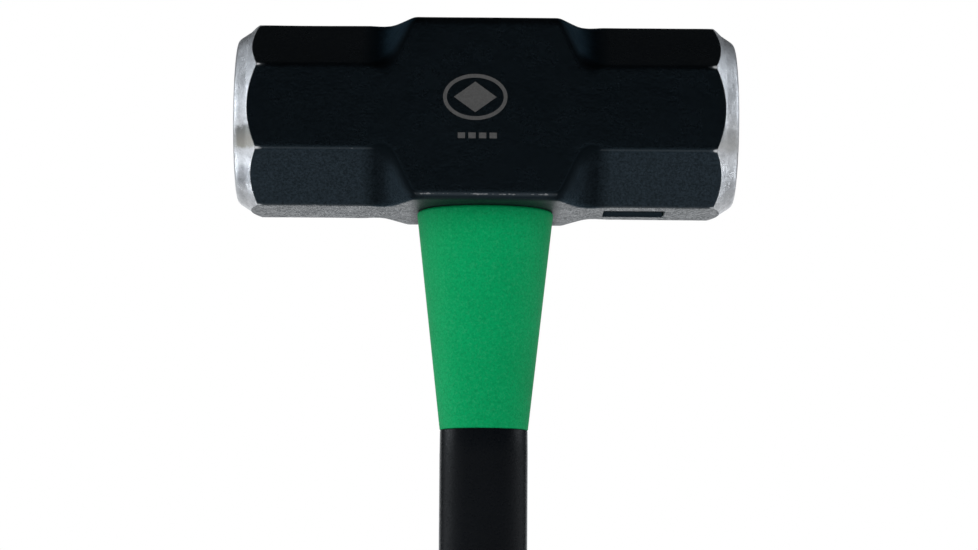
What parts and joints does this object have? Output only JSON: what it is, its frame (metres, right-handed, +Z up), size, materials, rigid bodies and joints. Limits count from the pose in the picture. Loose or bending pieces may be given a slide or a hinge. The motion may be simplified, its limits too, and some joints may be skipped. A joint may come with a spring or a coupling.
{
  "type": "sledgehammer",
  "caption": "Double-faced sledgehammer: octagonal-ended forged head on an oval composite handle with a flared overstrike guard, soft grip and butt cap.",
  "frame": {"origin": "centre of the butt's underside, the end the tool stands on", "axes": "+Z up along the handle to the head, +X along the head, from one striking face to the other"},
  "size_m": [0.2034, 0.0738, 0.9144],
  "materials": {
    "head_paint": "satin black enamel over forged steel, ground bright on the turned faces and chamfers",
    "fibreglass": "pultruded fibreglass",
    "adhesive": "cured epoxy",
    "dam_rubber": "matt",
    "guard_rubber": "matt moulded",
    "jacket_plastic": "fine moulded texture",
    "grip_rubber": "matt ribbed",
    "cap_plastic": "satin moulded",
    "bushing_steel": "plated"
  },
  "bodies": {
    "root": {"head": "head_paint", "core_rod": "fibreglass", "eye_adhesive": "adhesive", "eye_dam": "dam_rubber", "overstrike_guard": "guard_rubber", "handle_jacket": "jacket_plastic", "grip_sleeve": "grip_rubber", "butt_cap": "cap_plastic", "lanyard_bushing": "bushing_steel"}
  },
  "joints": []
}
